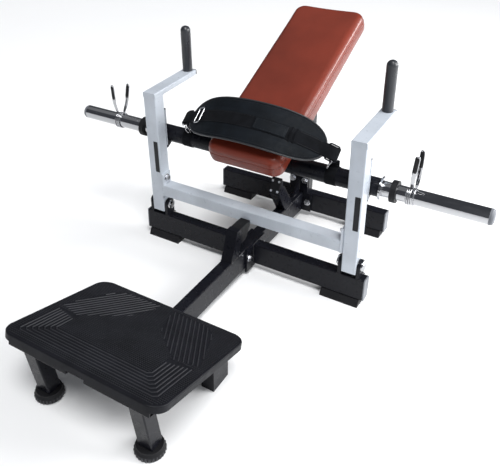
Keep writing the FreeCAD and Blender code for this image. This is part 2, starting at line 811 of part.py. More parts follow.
def cross_tube():
    """Low cross tube with the end plates that bolt to the inner faces of the uprights."""
    inner = size("leverouter") - size("leverstock")
    half = size("crossstock") / 2
    back = -size("crossback")
    tube = bar_stock("crossstock", "crossstock", "2 * leverouter - 2 * leverstock - 2 * flangethick",
                     at(size("flangethick") - inner, back, size("crosscentre"), ALONG_X))
    starts = (-inner, inner - size("flangethick"))
    plates = [box("flangethick", "crossstock", "crossflange",
                  (start, back - half, size("crosscentre") - half)) for start in starts]
    holes = [rod("boltradius + boltplay", "30", at(start - 11, back, z, ALONG_X))
             for start in starts for z in CROSS_BOLTS]
    piece(cut(fuse(tube, *plates), *holes), "lever_cross_tube", LEVER)
    bolts = []
    for sign in (-1, 1):
        outward = ALONG_X if sign > 0 else App.Rotation(Y_AXIS, -90)
        face = sign * (inner - size("flangethick"))
        start = face - sign * size("washerthick")
        place = at(start, back, CROSS_BOLTS[1], outward)
        bolts.append(bolt("2 * flangethick + washerthick", place, nut=False))
        bolts.append(rod("boltradius", "2 * flangethick", at(face, back, CROSS_BOLTS[0], outward)))
    piece(group(*bolts), "cross_tube_bolts", LEVER)


def hip_bar():
    """Hip bar across the back of the uprights, carried on plates with a web under the bar."""
    bar_place = at(-size("barend"), size("barplace"), size("barheight"), ALONG_X)
    bar = cut(rod("barradius", "2 * barend", bar_place),
              rod("barradius - barwall", "2 * barend", bar_place))
    piece(bar, "hip_bar", LEVER)
    brackets = []
    for sign in (-1, 1):
        x = sign * upright_middle
        corners = [(-26, 232), (-26, 380), (26, 380), (26, 232), (14, 218), (-14, 218)]
        plate = slab(corners, "bracketthick", at(x, half_lever + size("bracketthick") / 2, 0), "XZ_Plane")
        back = half_lever + size("bracketthick")
        web = [(back, 222), (back, 262), (size("barplace") + 8, 262), (size("barplace") - 4, 236)]
        webs = [slab(web, "6", at(x + offset, 0, 0)) for offset in (-20, 20)]
        saddle = rod("barradius", "80", at(x - 40, size("barplace"), size("barheight"), ALONG_X))
        brackets.append(cut(fuse(plate, *webs), saddle))
    piece(group(*brackets), "bar_brackets", LEVER)


def along_bar(place, sign):
    """Placement on the hip bar's axis with its own Z pointing outwards on one side."""
    outward = ALONG_X if sign > 0 else App.Rotation(Y_AXIS, -90)
    return at(sign * place, size("barplace"), size("barheight"), outward)


def sleeves():
    """Plate sleeves as wide as an Olympic bar's ends, each with an inner disc, a ring and a cap."""
    radius, thick = size("sleeveradius"), size("endcapthick")
    plug = radius - size("sleevewall")
    dome = [(0, -12), (plug, -12), (plug, 0), (radius, 0), (radius, thick * 0.4), (radius * 0.88, thick * 0.75),
            (radius * 0.6, thick * 0.95), (0, thick)]
    rings = []
    caps = []
    for name, sign in SIDES:
        start = along_bar(size("barend"), sign)
        tube = rod("sleeveradius", "sleeveend - barend", start)
        disc = rod("discradius", "discthick", start)
        bore = rod("sleeveradius - sleevewall", "sleeveend - barend", start)
        piece(cut(fuse(tube, disc), bore), f"sleeve_{name}", LEVER)
        ring_place = along_bar(size("stopringplace"), sign)
        rings.append(cut(rod("stopringradius", "stopringthick", ring_place),
                         rod("sleeveradius", "stopringthick", ring_place)))
        caps.append(turned(dome, along_bar(size("sleeveend"), sign)))
    piece(group(*rings), "sleeve_rings", LEVER)
    piece(group(*caps), "sleeve_end_caps", LEVER)


def belt_anchors():
    """Webbing loops round the hip bar, each with a short tail that stands up behind the belt's link."""
    width = "36"
    anchors = []
    for sign in (-1, 1):
        edge = sign * LINK_PLACE - 18
        place = at(edge, size("barplace"), size("barheight"), ALONG_X)
        loop = cut(rod("barradius + 3", width, place), rod("barradius", width, place))
        tail = box(width, "3", "27", (edge, size("barplace") + 3, size("barheight") + 29))
        anchors.append(fuse(loop, cut(tail, rod("barradius", width, place))))
    piece(group(*anchors), "belt_anchors", LEVER)


# ---------------------------------------------------------------- spring collars
def spring_collar(name, sign, place, outward_lean):
    """Coil on the sleeve with one fixed handle, and the clamping turn with the other handle."""
    bore = "sleeveradius + coilplay"
    reach = size("sleeveradius") + size("coilplay") + size("coilthick") / 2
    grip_low = size("wirereach") + 8 - size("clipgriplong")
    turns = (("coil", place, "coilwide", -sign, outward_lean),
             ("clamp", place + size("coilwide") + 1, "clampwide", sign, 0))
    for part_name, start, width, side_of_top, lean in turns:
        ring_place = along_bar(start, sign)
        ring = cut(rod(f"{bore} + coilthick", width, ring_place), rod(bore, width, ring_place))
        spread = App.Rotation(X_AXIS, -side_of_top * size("wirespread"))
        tip = App.Rotation(Y_AXIS, sign * lean)
        handle = App.Placement(ring_place.Base + V(sign * size(width) / 2, 0, 0), spread.multiply(tip))
        wires = [rod("wireradius", f"wirereach - {reach}", handle.multiply(at(0, 0, reach)))
                 for copy in range(2)]
        piece(fuse(ring, wires[0]), f"collar_{name}_{part_name}", LEVER)
        block = rounded_block("clipgripwide", "clipgripthick", "clipgriplong", "3",
                              handle.multiply(at(0, 0, grip_low)))
        piece(cut(block, wires[1]), f"collar_{name}_{part_name}_grip", LEVER)


# ---------------------------------------------------------------- the whole machine
spine()
for side, direction in SIDES:
    front_beam(side, direction)
rear_beam()
rear_joint_plate()
joint_bolts()
beam_caps()
beam_feet()
front_stop()
rear_stop()
pivot_ears()
pivot_pins()
pad_post()
pad_support()
pad()
belt()
belt_links()
platform()
platform_legs()
platform_channels()
platform_saddle()
for side, direction in SIDES:
    lever_upright(side, direction)
pivot_bushes()
lever_arms()
arm_end_caps()
cross_tube()
hip_bar()
sleeves()
belt_anchors()
spring_collar("right", 1, size("collarright"), 5)
spring_collar("left", -1, size("collarleft"), -10)

doc.recompute()
for thing in doc.Objects:
    trouble = set(thing.State) & {"Invalid", "Error"}
    if trouble:
        raise RuntimeError(f"{thing.Name} did not recompute: {sorted(trouble)}")
whole = App.BoundBox()
for thing in pieces:
    if thing.Shape.isNull() or not thing.Shape.isValid():
        raise RuntimeError(f"{thing.Label} has no valid shape")
    whole.add(thing.Shape.BoundBox)
    thing.Shape.exportStep(f"parts/{thing.Label}.step")
print(f"{len(pieces)} sub-parts")
print(f"X {whole.XMin:.2f} {whole.XMax:.2f}")
print(f"Y {whole.YMin:.2f} {whole.YMax:.2f}")
print(f"Z {whole.ZMin:.2f} {whole.ZMax:.2f}")
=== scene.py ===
"""Looks of the hip thrust machine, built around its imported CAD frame.  Metres, the CAD's own frame."""

import json
import math

import bmesh
import bpy
from mathutils import Matrix, Vector, noise


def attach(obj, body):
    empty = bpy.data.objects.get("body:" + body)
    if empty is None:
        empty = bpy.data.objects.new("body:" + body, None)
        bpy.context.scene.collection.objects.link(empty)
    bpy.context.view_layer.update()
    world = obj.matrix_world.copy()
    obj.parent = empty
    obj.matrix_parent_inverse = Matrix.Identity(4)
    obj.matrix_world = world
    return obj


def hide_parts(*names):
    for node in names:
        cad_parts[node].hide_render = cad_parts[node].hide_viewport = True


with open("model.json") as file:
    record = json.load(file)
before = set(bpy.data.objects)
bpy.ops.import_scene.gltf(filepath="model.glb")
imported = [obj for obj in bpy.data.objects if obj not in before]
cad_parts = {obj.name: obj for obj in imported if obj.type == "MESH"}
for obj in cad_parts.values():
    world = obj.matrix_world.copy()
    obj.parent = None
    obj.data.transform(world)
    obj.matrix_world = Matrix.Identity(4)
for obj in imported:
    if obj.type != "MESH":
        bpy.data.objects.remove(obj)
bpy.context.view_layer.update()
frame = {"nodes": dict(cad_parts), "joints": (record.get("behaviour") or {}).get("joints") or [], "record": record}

MM = 0.001
joints = {joint["name"]: joint for joint in frame["joints"]}
pivot = Vector(joints["lever_swing"]["pos_m"])

# Frames of reference that the CAD's pieces are laid out in, with lengths in millimetres.
LEVER_LEAN = math.radians(2.5)
PAD_TILT = math.radians(26)
BELT_TILT = math.radians(38.5)
PLATE_TILT = math.radians(14.6)
machine = Matrix.Translation((0, pivot.y, 0)) @ Matrix.Scale(MM, 4)


def tilted(y, z, angle):
    return machine @ Matrix.Translation((0, y, z)) @ Matrix.Rotation(angle, 4, "X")


lever = tilted(0, pivot.z / MM, LEVER_LEAN)
pad_frame = tilted(-50.5, 406.5, PAD_TILT)
belt_frame = tilted(-82, 519, BELT_TILT)
plate_frame = tilted(-472, 137, -PLATE_TILT)

# Places that several pieces share, in millimetres.
SIDES = (("left", -1), ("right", 1))
BAR_Y, BAR_Z = 60.0, 268.0        # the hip bar's axis, in the lever's frame
UPRIGHT_X = 378                   # middle of each upright of the lever
UPRIGHT_FRONT = -25               # front face of the uprights, in the lever's frame
BEAM_TOP = 104                    # top face of the frame's beams

# ---------------------------------------------------------------- mesh helpers


def put_in_scene(name, data):
    thing = bpy.data.objects.new(name, data)
    bpy.context.scene.collection.objects.link(thing)
    return thing


def add_piece(name, points, faces, place, material, body, slot, levels=0, smooth=True):
    """A mesh from points in a frame of reference, put on a body with its material."""
    mesh = bpy.data.meshes.new(name)
    mesh.from_pydata([place @ Vector(point) for point in points], [], faces)
    mesh.validate()
    work = bmesh.new()
    work.from_mesh(mesh)
    bmesh.ops.remove_doubles(work, verts=work.verts, dist=1e-6)
    bmesh.ops.recalc_face_normals(work, faces=work.faces)
    work.to_mesh(mesh)
    work.free()
    mesh.polygons.foreach_set("use_smooth", [smooth] * len(mesh.polygons))
    mesh.materials.append(material)
    thing = put_in_scene(name, mesh)
    if levels:
        rounding = thing.modifiers.new("Rounding", "SUBSURF")
        rounding.levels = rounding.render_levels = levels
    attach(thing, body)
    return thing


def soften(thing, width, flat):
    """Small rounded edges, so that every edge catches the light, with flat faces kept flat if asked."""
    edge = thing.modifiers.new("Edge", "BEVEL")
    edge.width = width
    edge.segments = 2
    edge.limit_method = "ANGLE"
    edge.angle_limit = math.radians(40)
    edge.use_clamp_overlap = True
    edge.harden_normals = flat


def grid_faces(rows, columns, wrap_rows=False, wrap_columns=True):
    """Quads between neighbouring rows of points, each row closed on itself if asked."""
    faces = []
    for row in range(rows if wrap_rows else rows - 1):
        below = (row + 1) % rows
        for column in range(columns if wrap_columns else columns - 1):
            beside = (column + 1) % columns
            faces.append((row * columns + column, row * columns + beside,
                          below * columns + beside, below * columns + column))
    return faces


def sweep(path, section, closed=False, up=Vector((0, 0, 1))):
    """Points and faces of a section (side, height) carried along a path, its height kept near "up".

    The section is a list of (side, height) pairs, or a function of the point's number that gives one.
    """
    points = []
    count = len(path)
    for index, centre in enumerate(path):
        before = path[index - 1] if closed or index else centre
        after = path[(index + 1) % count] if closed or index < count - 1 else centre
        along = (after - before).normalized()
        side = along.cross(up).normalized()
        top = side.cross(along)
        shape = section(index) if callable(section) else section
        points += [centre + side * a + top * b for a, b in shape]
    size = len(shape)
    faces = grid_faces(count, size, wrap_rows=closed)
    if not closed:
        faces.append(tuple(range(size)))
        faces.append(tuple(range((count - 1) * size, count * size))[::-1])
    return points, faces


def circle(radius, count):
    """Circle as (side, height) pairs."""
    return [(radius * math.cos(turn), radius * math.sin(turn))
            for turn in (2 * math.pi * step / count for step in range(count))]


def flat_section(width, thick, corner):
    """Rounded rectangle as (side, height) pairs."""
    points = []
    for quarter, (sx, sy) in enumerate(((1, 1), (-1, 1), (-1, -1), (1, -1))):
        for step in range(4):
            turn = math.pi / 2 * (quarter + step / 3)
            points.append((sx * (width / 2 - corner) + corner * math.cos(turn),
                           sy * (thick / 2 - corner) + corner * math.sin(turn)))
    return points


def rounded_outline(half_x, half_y, corner, step):
    """Closed outline of a rounded rectangle with points about a step apart."""
    outline = []
    centres = ((1, 1, 0), (-1, 1, 1), (-1, -1, 2), (1, -1, 3))
    for sx, sy, quarter in centres:
        cx, cy = sx * (half_x - corner), sy * (half_y - corner)
        arc_steps = max(4, round(corner * math.pi / 2 / step))
        for index in range(arc_steps + 1):
            turn = math.pi / 2 * (quarter + index / arc_steps)
            outline.append((cx + corner * math.cos(turn), cy + corner * math.sin(turn)))
        run = 2 * ((half_y if quarter % 2 else half_x) - corner)
        run_steps = max(1, round(run / step))
        heading = math.pi / 2 * (quarter + 2)
        start = outline[-1]
        for index in range(1, run_steps):
            reach = run * index / run_steps
            outline.append((start[0] + reach * math.cos(heading), start[1] + reach * math.sin(heading)))
    return outline


def joined(parts):
    """Several (points, faces) pairs as one."""
    points, faces = [], []
    for more_points, more_faces in parts:
        base = len(points)
        points += more_points
        faces += [tuple(base + number for number in face) for face in more_faces]
    return points, faces


def arc(centre, radius, start, end, count, first, second):
    """Points on an arc about a centre, in the plane of two unit vectors (angles in degrees)."""
    turns = [math.radians(start + (end - start) * step / count) for step in range(count + 1)]
    return [centre + first * (radius * math.cos(turn)) + second * (radius * math.sin(turn))
            for turn in turns]


# ---------------------------------------------------------------- materials


class Finish:
    """One procedural material: a Principled shader with detail from noise, all in object space."""

    def __init__(self, name, colour, rough, metal=0.0, coat=0.0, sheen=0.0, specular=0.5):
        self.material = bpy.data.materials.new(name)
        self.material.use_nodes = True
        self.nodes = self.material.node_tree.nodes
        self.links = self.material.node_tree.links
        self.shader = self.nodes["Principled BSDF"]
        self.colour = colour
        self.rough = rough
        self.height = None
        self.set("Base Color", (*colour, 1))
        self.set("Roughness", rough)
        self.set("Metallic", metal)
        self.set("Coat Weight", coat)
        self.set("Coat Roughness", 0.2)
        self.set("Sheen Weight", sheen)
        self.set("Specular IOR Level", specular)
        place = self.nodes.new("ShaderNodeTexCoord")
        self.place = place.outputs["Object"]

    def set(self, socket, value):
        self.shader.inputs[socket].default_value = value

    def stretched(self, scale):
        mapping = self.nodes.new("ShaderNodeMapping")
        mapping.inputs["Scale"].default_value = scale
        self.links.new(self.place, mapping.inputs["Vector"])
        return mapping.outputs["Vector"]

    def noise(self, scale, detail=4.0, stretch=None):
        cloud = self.nodes.new("ShaderNodeTexNoise")
        cloud.inputs["Scale"].default_value = scale
        cloud.inputs["Detail"].default_value = detail
        self.links.new(self.stretched(stretch) if stretch else self.place, cloud.inputs["Vector"])
        return cloud.outputs["Fac"]

    def cells(self, scale):
        cell = self.nodes.new("ShaderNodeTexVoronoi")
        cell.inputs["Scale"].default_value = scale
        self.links.new(self.place, cell.inputs["Vector"])
        return cell.outputs["Distance"]

    def waves(self, scale, direction, distortion):
        wave = self.nodes.new("ShaderNodeTexWave")
        wave.bands_direction = direction
        wave.inputs["Scale"].default_value = scale
        wave.inputs["Distortion"].default_value = distortion
        self.links.new(self.place, wave.inputs["Vector"])
        return wave.outputs["Fac"]

    def ramp(self, value, low, high):
        """Two-stop ramp: a number or a colour for each end."""
        stops = self.nodes.new("ShaderNodeValToRGB")
        for element, position, shade in zip(stops.color_ramp.elements, (0.3, 0.7), (low, high)):
            element.position = position
            element.color = (*shade, 1) if isinstance(shade, tuple) else (shade, shade, shade, 1)
        self.links.new(value, stops.inputs["Fac"])
        return stops.outputs["Color"]

    def vary_colour(self, value, amount):
        """Lighten and darken the base colour a little with a pattern."""
        low = tuple(part * (1 - amount) for part in self.colour)
        high = tuple(min(1.0, part * (1 + amount)) for part in self.colour)
        self.links.new(self.ramp(value, low, high), self.shader.inputs["Base Color"])

    def vary_rough(self, value, amount):
        shade = self.ramp(value, max(0.02, self.rough - amount), self.rough + amount)
        self.links.new(shade, self.shader.inputs["Roughness"])

    def bump(self, value, strength, depth):
        """Add one layer of relief on top of the layers before it."""
        relief = self.nodes.new("ShaderNodeBump")
        relief.inputs["Strength"].default_value = strength
        relief.inputs["Distance"].default_value = depth
        self.links.new(value, relief.inputs["Height"])
        if self.height:
            self.links.new(self.height, relief.inputs["Normal"])
        self.height = relief.outputs["Normal"]
        self.links.new(self.height, self.shader.inputs["Normal"])


def powder_coat(name, colour, rough, coat=0.25, specular=0.5):
    """Powder coat: fine orange peel, faint mottling and slightly uneven gloss."""
    finish = Finish(name, colour, rough, coat=coat, specular=specular)
    finish.vary_colour(finish.noise(9, 6), 0.12)
    finish.vary_rough(finish.noise(55, 5), 0.06)
    finish.bump(finish.noise(420, 2), 0.07, 0.0004)
    return finish.material


def polished(name, colour, rough):
    """Plated metal: faint hairlines and smudges."""
    finish = Finish(name, colour, rough, metal=1.0)
    finish.vary_rough(finish.noise(30, 6, (1, 8, 8)), 0.05)
    finish.bump(finish.noise(300, 3, (0.2, 4, 4)), 0.03, 0.0002)
    return finish.material


def rubber(name, colour, rough, grain=380, specular=0.22):
    """Moulded rubber or plastic with a fine spark-eroded grain."""
    finish = Finish(name, colour, rough, specular=specular)
    finish.vary_colour(finish.noise(14, 5), 0.2)
    finish.vary_rough(finish.noise(40, 4), 0.07)
    finish.bump(finish.noise(grain, 3), 0.25, 0.0004)
    return finish.material


def upholstery():
    """Vinyl with pebbled grain and soft creases."""
    finish = Finish("pad_vinyl", (0.158, 0.0245, 0.0125), 0.42, coat=0.6, specular=0.3)
    finish.vary_colour(finish.noise(6, 6), 0.16)
    finish.vary_rough(finish.noise(60, 5), 0.08)
    finish.bump(finish.noise(11, 3), 0.25, 0.004)
    finish.bump(finish.cells(420), 0.22, 0.0006)
    finish.set("IOR", 1.25)
    finish.set("Coat Roughness", 0.26)
    return finish.material


def belt_leather():
    """Matt navy-black split leather with a fine nap."""
    finish = Finish("belt_leather", (0.0044, 0.0064, 0.0092), 0.58, sheen=0.015, specular=0.25)
    finish.vary_colour(finish.noise(18, 6), 0.3)
    finish.vary_rough(finish.noise(90, 5), 0.08)
    finish.bump(finish.noise(26, 4), 0.3, 0.0025)
    finish.bump(finish.cells(650), 0.3, 0.0006)
    finish.set("IOR", 1.3)
    return finish.material


def webbing():
    """Woven polyester webbing: fine ribs one way and threads across them."""
    finish = Finish("webbing", (0.0056, 0.0062, 0.0078), 0.7, sheen=0.015, specular=0.13)
    finish.vary_colour(finish.noise(35, 5), 0.35)
    finish.bump(finish.waves(160, "X", 0.4), 0.5, 0.0005)
    finish.bump(finish.waves(160, "Y", 0.4), 0.35, 0.0004)
    finish.set("IOR", 1.3)
    return finish.material


def plywood():
    finish = Finish("plywood", (0.42, 0.28, 0.15), 0.6)
    finish.vary_colour(finish.noise(9, 8, (1, 14, 14)), 0.3)
    finish.bump(finish.noise(60, 6, (1, 18, 18)), 0.25, 0.0008)
    return finish.material


black_paint = powder_coat("black_frame", (0.0058, 0.0062, 0.0092), 0.3, coat=0.08, specular=0.13)
silver_paint = powder_coat("silver_lever", (0.47, 0.51, 0.565), 0.32, coat=0.25)
chrome = polished("chrome", (0.46, 0.465, 0.48), 0.07)
zinc = polished("zinc", (0.62, 0.63, 0.66), 0.26)
bronze = polished("bronze", (0.5, 0.33, 0.14), 0.35)
black_rubber = rubber("rubber_black", (0.009, 0.009, 0.0105), 0.55)
black_plastic = rubber("plastic_black", (0.0095, 0.0095, 0.011), 0.42)
grey_plastic = rubber("plastic_grey", (0.15, 0.158, 0.175), 0.4)
grip_foam = rubber("foam_grip", (0.02, 0.0225, 0.028), 0.34, grain=520, specular=0.55)
tread_rubber = rubber("plate_rubber", (0.0076, 0.008, 0.0105), 0.46, grain=300, specular=0.15)
# The ribs and rows are moulded in the same rubber as the plate; their lighter colours are painted highlight, lit
# copies of the plate's rubber.
rib_rubber_painted_highlight = rubber("plate_ribs_painted_highlight", (0.022, 0.0225, 0.027), 0.36, grain=300, specular=0.4)
row_rubber_painted_highlight = rubber("plate_rows_painted_highlight", (0.0135, 0.014, 0.0175), 0.4, grain=300, specular=0.3)
vinyl = upholstery()
leather = belt_leather()
strap_weave = webbing()
board_wood = plywood()
# The binding's colour is its trim colour lightened further to stand in for the highlight along the belt's edge:
# part real colour, part painted highlight.
binding_and_highlight = rubber("belt_binding_and_highlight", (0.021, 0.022, 0.025), 0.36, grain=300, specular=0.5)
thread = rubber("thread", (0.03, 0.032, 0.036), 0.6)
seam_vinyl = powder_coat("pad_piping", (0.15, 0.024, 0.0145), 0.36, coat=0.15)
weld_paint = powder_coat("black_weld", (0.008, 0.0082, 0.0105), 0.26, coat=0.0, specular=0.3)
label_film = rubber("label_film", (0.012, 0.0125, 0.015), 0.35, grain=200)

SLOT_FINISHES = {
    "black_frame": black_paint, "silver_lever": silver_paint, "chrome": chrome, "zinc": zinc,
    "bronze": bronze, "rubber_black": black_rubber, "plastic_black": black_plastic,
    "plastic_grey": grey_plastic, "foam_grip": grip_foam, "plate_rubber": tread_rubber,
    "pad_vinyl": vinyl, "belt_leather": leather, "webbing": strap_weave, "plywood": board_wood,
}
SMOOTH_ROUND = {"hip_bar", "sleeve_left", "sleeve_right", "sleeve_rings", "sleeve_end_caps", "hand_grips",
                "pivot_pins", "leg_shoes", "pivot_bushes"}


def dress_cad_nodes():
    """Give every carried-over CAD node its procedural finish and softened edges."""
    for entry in frame["record"]["subparts"]:
        node = entry["node"]
        thing = frame["nodes"][node]
        finish = SLOT_FINISHES[entry["material_slot"]]
        for slot in thing.material_slots:
            slot.material = finish
        if not thing.material_slots:
            thing.data.materials.append(finish)
        turned = node in SMOOTH_ROUND
        soften(thing, 0.0006 if turned else 0.0014, flat=not turned)


# ---------------------------------------------------------------- pad
PAD_HALF_X, PAD_HALF_Y, PAD_CORNER = 137.0, 380.0, 34.0
PAD_SPINE = PAD_HALF_Y - PAD_HALF_X    # half the pad's long middle line, which its rows close in on
PAD_UNDERSIDE = 12.4                   # the cover's lower face, just above the board
PAD_SEAM = 38.0                        # height of the piping round the pad's side
PAD_SHOULDER = 68.0                    # height where the rounded rim ends
PAD_RIM = 27.0                         # how far in from the side the rim ends
PAD_LIP = 2.2                          # how far in from the side the top's first row lies
PAD_CROWN, CROWN_REACH = 5.0, 90       # rise of the top above the shoulder, and where it levels off
# How far in from the outline the side lies at each height, from the fold round the board up to the piping.
PAD_SIDE = ((9.4, 12.0), (9.2, 2.0), (4.0, 0.8), (1.2, 3.0), (0.2, 10.0), (-0.5, 18.0), (-0.6, 26.0),
            (0.1, 33.0), (1.0, PAD_SEAM))


def on_spine(y):
    """The place on the pad's long middle line that is nearest to a point."""
    return max(-PAD_SPINE, min(PAD_SPINE, y))


def pad_inward(x, y, distance):
    """The point moved from the outline towards the pad's long middle line."""
    offset = Vector((0, on_spine(y))) - Vector((x, y))
    moved = Vector((x, y)) + offset * (distance / offset.length)
    return moved.x, moved.y


def pad_pull(x, y):
    """How far the pad's side sinks between the corners."""
    return 1.6 * (1 - (y / PAD_HALF_Y) ** 2) + 1.2 * (1 - (x / PAD_HALF_X) ** 2)


def pad_side_rows(outline):
    """Rows of points up the pad's side, a little wavy as stretched vinyl is."""
    rows = []
    for inset, height in PAD_SIDE:
        row = []
        for x, y in outline:
            wave = 0.5 * noise.noise(Vector((x, y, height)) * 0.03)
            px, py = pad_inward(x, y, inset + pad_pull(x, y) * min(1.0, height / 20) + wave)
            row.append((px, py, height))
        rows.append(row)
    return rows


def pad_top_rows(outline):
    """Rows of points from the piping over the rounded rim and the crown to the middle line."""
    rows = []
    steps = 24
    for index in range(1, steps + 1):
        share = index / steps
        row = []
        for x, y in outline:
            reach = math.hypot(x, y - on_spine(y))
            pull = pad_pull(x, y)
            distance = PAD_LIP + pull + (reach - PAD_LIP - pull) * share ** 1.6
            px, py = pad_inward(x, y, min(distance, reach))
            edge = min(1.0, distance / PAD_RIM)
            height = PAD_SEAM + (PAD_SHOULDER - PAD_SEAM) * math.sqrt(1 - (1 - edge) ** 2)
            height += PAD_CROWN * (1 - (1 - min(1.0, distance / CROWN_REACH)) ** 2)
            height += 0.5 * noise.noise(Vector((px, py, 7)) * 0.035) * edge
            row.append((px, py, height))
        rows.append(row)
    return rows


def pad():
    """Foam pad under vinyl: crowned top, sides that pull in, a fold round the board and piping."""
    outline = rounded_outline(PAD_HALF_X, PAD_HALF_Y, PAD_CORNER, 7.0)
    rows = pad_side_rows(outline) + pad_top_rows(outline)
    count = len(outline)
    points = [(x, y + PAD_HALF_Y, z) for row in rows for x, y, z in row]
    faces = grid_faces(len(rows), count)
    base = len(points)
    for share in (0.5, 1.0):
        for x, y in outline:
            points.append((x - x * share, y + (on_spine(y) - y) * share + PAD_HALF_Y, PAD_UNDERSIDE))
    for column in range(count):
        beside = (column + 1) % count
        faces.append((beside, column, base + column, base + beside))
        faces.append((base + beside, base + column, base + count + column, base + count + beside))
    cushion = add_piece("pad_upholstery", points, faces, pad_frame, vinyl, "root", "pad_vinyl", levels=1)
    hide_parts("pad_cushion")
    path = []
    for x, y in outline:
        px, py = pad_inward(x, y, 1.0 + pad_pull(x, y))
        path.append(Vector((px, py + PAD_HALF_Y, PAD_SEAM + 0.5)))
    points, faces = sweep(path, circle(1.2, 10), closed=True)
    add_piece("pad_piping", points, faces, pad_frame, seam_vinyl, "root", "pad_vinyl")


# ---------------------------------------------------------------- belt
BELT_HALF = 249.0          # half the belt's length
BELT_HALF_WIDE = 77.0      # half its width at the middle
BELT_ARCH = 250.0          # half the span over which it drops
BELT_DROP = 74.0
BELT_MIDDLE = 78.0         # place of its middle line in its own frame
BELT_CORE = 4.0            # from the upper face of the belt's ends down to its mid-plane
BELT_PUFF = 3.6            # half the padding's thickness on the middle line
END_SLOPE = math.radians(32)
STRAP_WIDE = 46.0
STRAP_LIFT = 1.0           # middle of the webbing above the padding
PATCH_LIFT = 2.9           # middle of the patch above the padding
PATCH_START, PATCH_END = 20, 132
THREAD_LIFT = 1.1          # stitches above the middle of what they hold
RING_X, RING_Y, RING_WIRE = 17.5, 28.0, 2.4


def belt_height(x):
    """Height of the belt's upper face along its length."""
    return -BELT_DROP * abs(x / BELT_ARCH) ** 2.2


def belt_ends(x):
    """One over nearly all of the belt's length, falling to nothing at its ends."""
    return 1 - (abs(x) / BELT_HALF) ** 10


def belt_puff(x):
    """Half the padding's thickness on the belt's middle line."""
    return BELT_PUFF * math.sqrt(max(0.0, belt_ends(x)))


def belt_edge(x, front):
    """Half width of the belt on its front or rear side, drawn in towards rounded ends."""
    share = min(1.0, abs(x) / BELT_HALF)
    power = 4.6 if front else 5.5
    return BELT_HALF_WIDE * (1 - share ** power) ** (1 / 2.1)


def belt():
    """Padded belt: a long lens with two quilting grooves that arches over the pad's low end."""
    stations, across = 84, 30
    top, bottom = [], []
    for index in range(stations + 1):
        x = -BELT_HALF * math.cos(math.pi * index / stations)
        front, rear = belt_edge(x, True), belt_edge(x, False)
        for step in range(across + 1):
            swing = -math.cos(math.pi * step / across)
            y = BELT_MIDDLE + (swing * front if swing < 0 else swing * rear)
            edge = 1 - abs(swing) ** 6
            puff = BELT_PUFF * math.sqrt(max(0.0, edge * belt_ends(x)))
            centre = belt_height(x) - BELT_CORE
            quilt = 1.1 * math.exp(-((abs(swing) - 0.5) / 0.05) ** 2) * min(1.0, edge * 3)
            wave = 0.5 * noise.noise(Vector((x, y, 3)) * 0.03) * edge * belt_ends(x)
            top.append((x, y, centre + puff - quilt + wave))
            bottom.append((x, y, centre - puff + wave))
    width = across + 1
    faces = grid_faces(stations + 1, width, wrap_columns=False)
    offset = len(top)
    faces += [tuple(offset + corner for corner in face[::-1]) for face in faces]
    for index in range(stations):
        for column in (0, across):
            a, b = index * width + column, (index + 1) * width + column
            faces.append((a, b, offset + b, offset + a))
    body = add_piece("belt_body", top + bottom, faces, belt_frame, leather, "root", "belt_leather",
                     levels=1)
    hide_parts("hip_belt")


def belt_rim():
    """Bound edge all round the belt."""
    rim = []
    steps = 160
    for index in range(steps):
        turn = 2 * math.pi * index / steps
        x = -BELT_HALF * math.cos(turn)
        y = BELT_MIDDLE + (-belt_edge(x, True) if math.sin(turn) < 0 else belt_edge(x, False))
        rim.append(Vector((x, y, belt_height(x) - BELT_CORE)))
    points, faces = sweep(rim, flat_section(5.0, 7.4, 2.2), closed=True)
    # The rim takes the lightened binding colour, a painted highlight along the belt's edge.
    add_piece("belt_binding_and_highlight", points, faces, belt_frame, binding_and_highlight, "root", "webbing")


def stitches(lines, name, place, body):
    """Short rounded thread stitches laid along lines of points."""
    pitch, length, radius, sides = 5.5, 3.4, 0.55, 6
    points, faces = [], []
    for line in lines:
        for start, end in zip(line, line[1:]):
            run = (end - start).length
            heading = (end - start) / run
            side = heading.cross(Vector((0, 0, 1))).normalized()
            above = side.cross(heading)
            count = max(1, int(run / pitch))
            for index in range(count):
                centre = start + heading * (index + 0.5) * run / count
                base = len(points)
                for thick, share in ((0.35, -0.5), (1.0, -0.25), (1.0, 0.25), (0.35, 0.5)):
                    spot = centre + heading * (length * share)
                    points += [spot + side * a * thick + above * b * thick
                               for a, b in circle(radius, sides)]
                faces += [tuple(base + corner for corner in face) for face in grid_faces(4, sides)]
                faces.append(tuple(range(base, base + sides)))
                faces.append(tuple(range(base + 3 * sides, base + 4 * sides))[::-1])
    add_piece(name, points, faces, place, thread, body, "webbing")


def end_directions(sign):
    """Directions outward along the belt's sloping end and square up from it."""
    return (Vector((sign * math.cos(END_SLOPE), 0, -math.sin(END_SLOPE))),
            Vector((sign * math.sin(END_SLOPE), 0, math.cos(END_SLOPE))))


def link_bar(sign, along):
    """Centre of a belt ring's bar, so far out from the ring's middle along the belt's end slope."""
    reach = 270 + along * math.cos(END_SLOPE)
    return Vector((sign * reach, BELT_MIDDLE, -85 - along * math.sin(END_SLOPE)))


def strap_end(sign):
    """Path of the webbing from the belt's top, round the ring's outer bar and back under the belt."""
    wrap = 3.8
    outward, above = end_directions(sign)
    path = [link_bar(sign, -RING_X) + above * wrap]
    path += arc(link_bar(sign, RING_X), wrap, 90, -90, 8, outward, above)
    path.append(link_bar(sign, -RING_X) - above * wrap)
    for reach in (241, 236, 230, 222):
        under = belt_height(reach) - BELT_CORE - belt_puff(reach) - 1.3
        path.append(Vector((sign * reach, BELT_MIDDLE, under)))
    return path


def belt_run(start, end, lift, count, aside=0):
    """Points along the belt's middle line or beside it, so far above the padding's upper face."""
    return [Vector((x, BELT_MIDDLE + aside, belt_height(x) - BELT_CORE + belt_puff(x) + lift))
            for x in (start + (end - start) * step / count for step in range(count + 1))]


